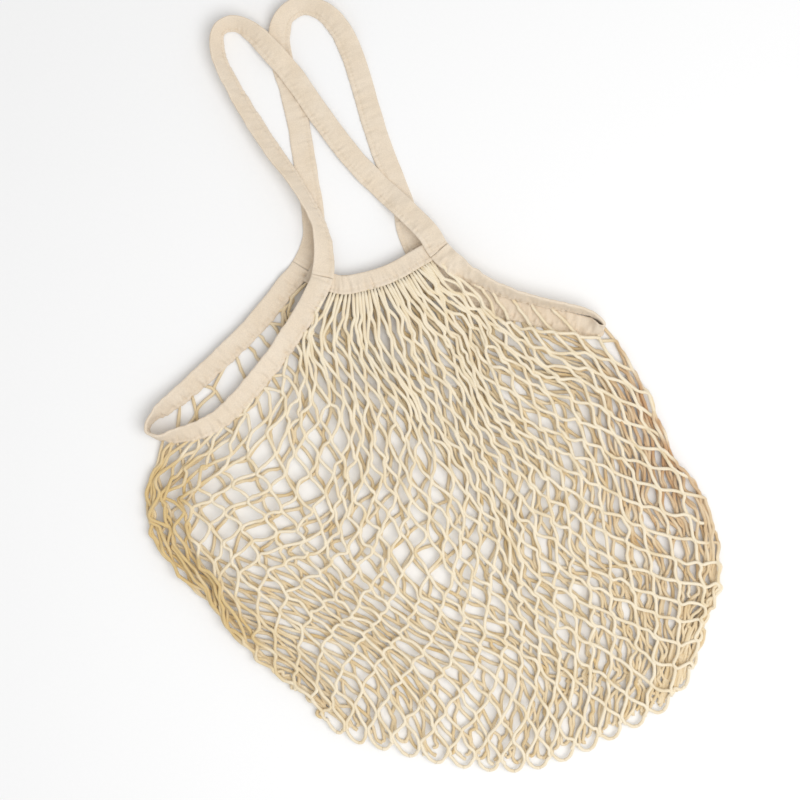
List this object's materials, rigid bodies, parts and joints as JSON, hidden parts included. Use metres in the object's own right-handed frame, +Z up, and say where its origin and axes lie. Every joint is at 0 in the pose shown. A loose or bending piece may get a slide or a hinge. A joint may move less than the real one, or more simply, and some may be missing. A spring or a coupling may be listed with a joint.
{
  "type": "string shopping bag",
  "caption": "Empty cotton net tote lying flat, with gathered mouth, open side slits bound in tape and two long tape handles.",
  "frame": {"origin": "middle of the underside's bounding box, on the floor that the bag lies on", "axes": "+Z up from the floor, +Y from the net bag to the tops of its handles, +X along the mouth to the closed slit"},
  "size_m": [0.479, 0.7194, 0.0222],
  "materials": {
    "net": "matte ecru cotton cord",
    "tape": "matte ecru cotton tape"
  },
  "bodies": {
    "root": {"net_bag": "net", "front_mouth_binding": "tape", "back_mouth_binding": "tape", "left_side_binding": "tape", "right_side_binding": "tape", "front_handle": "tape", "back_handle": "tape"}
  },
  "joints": []
}
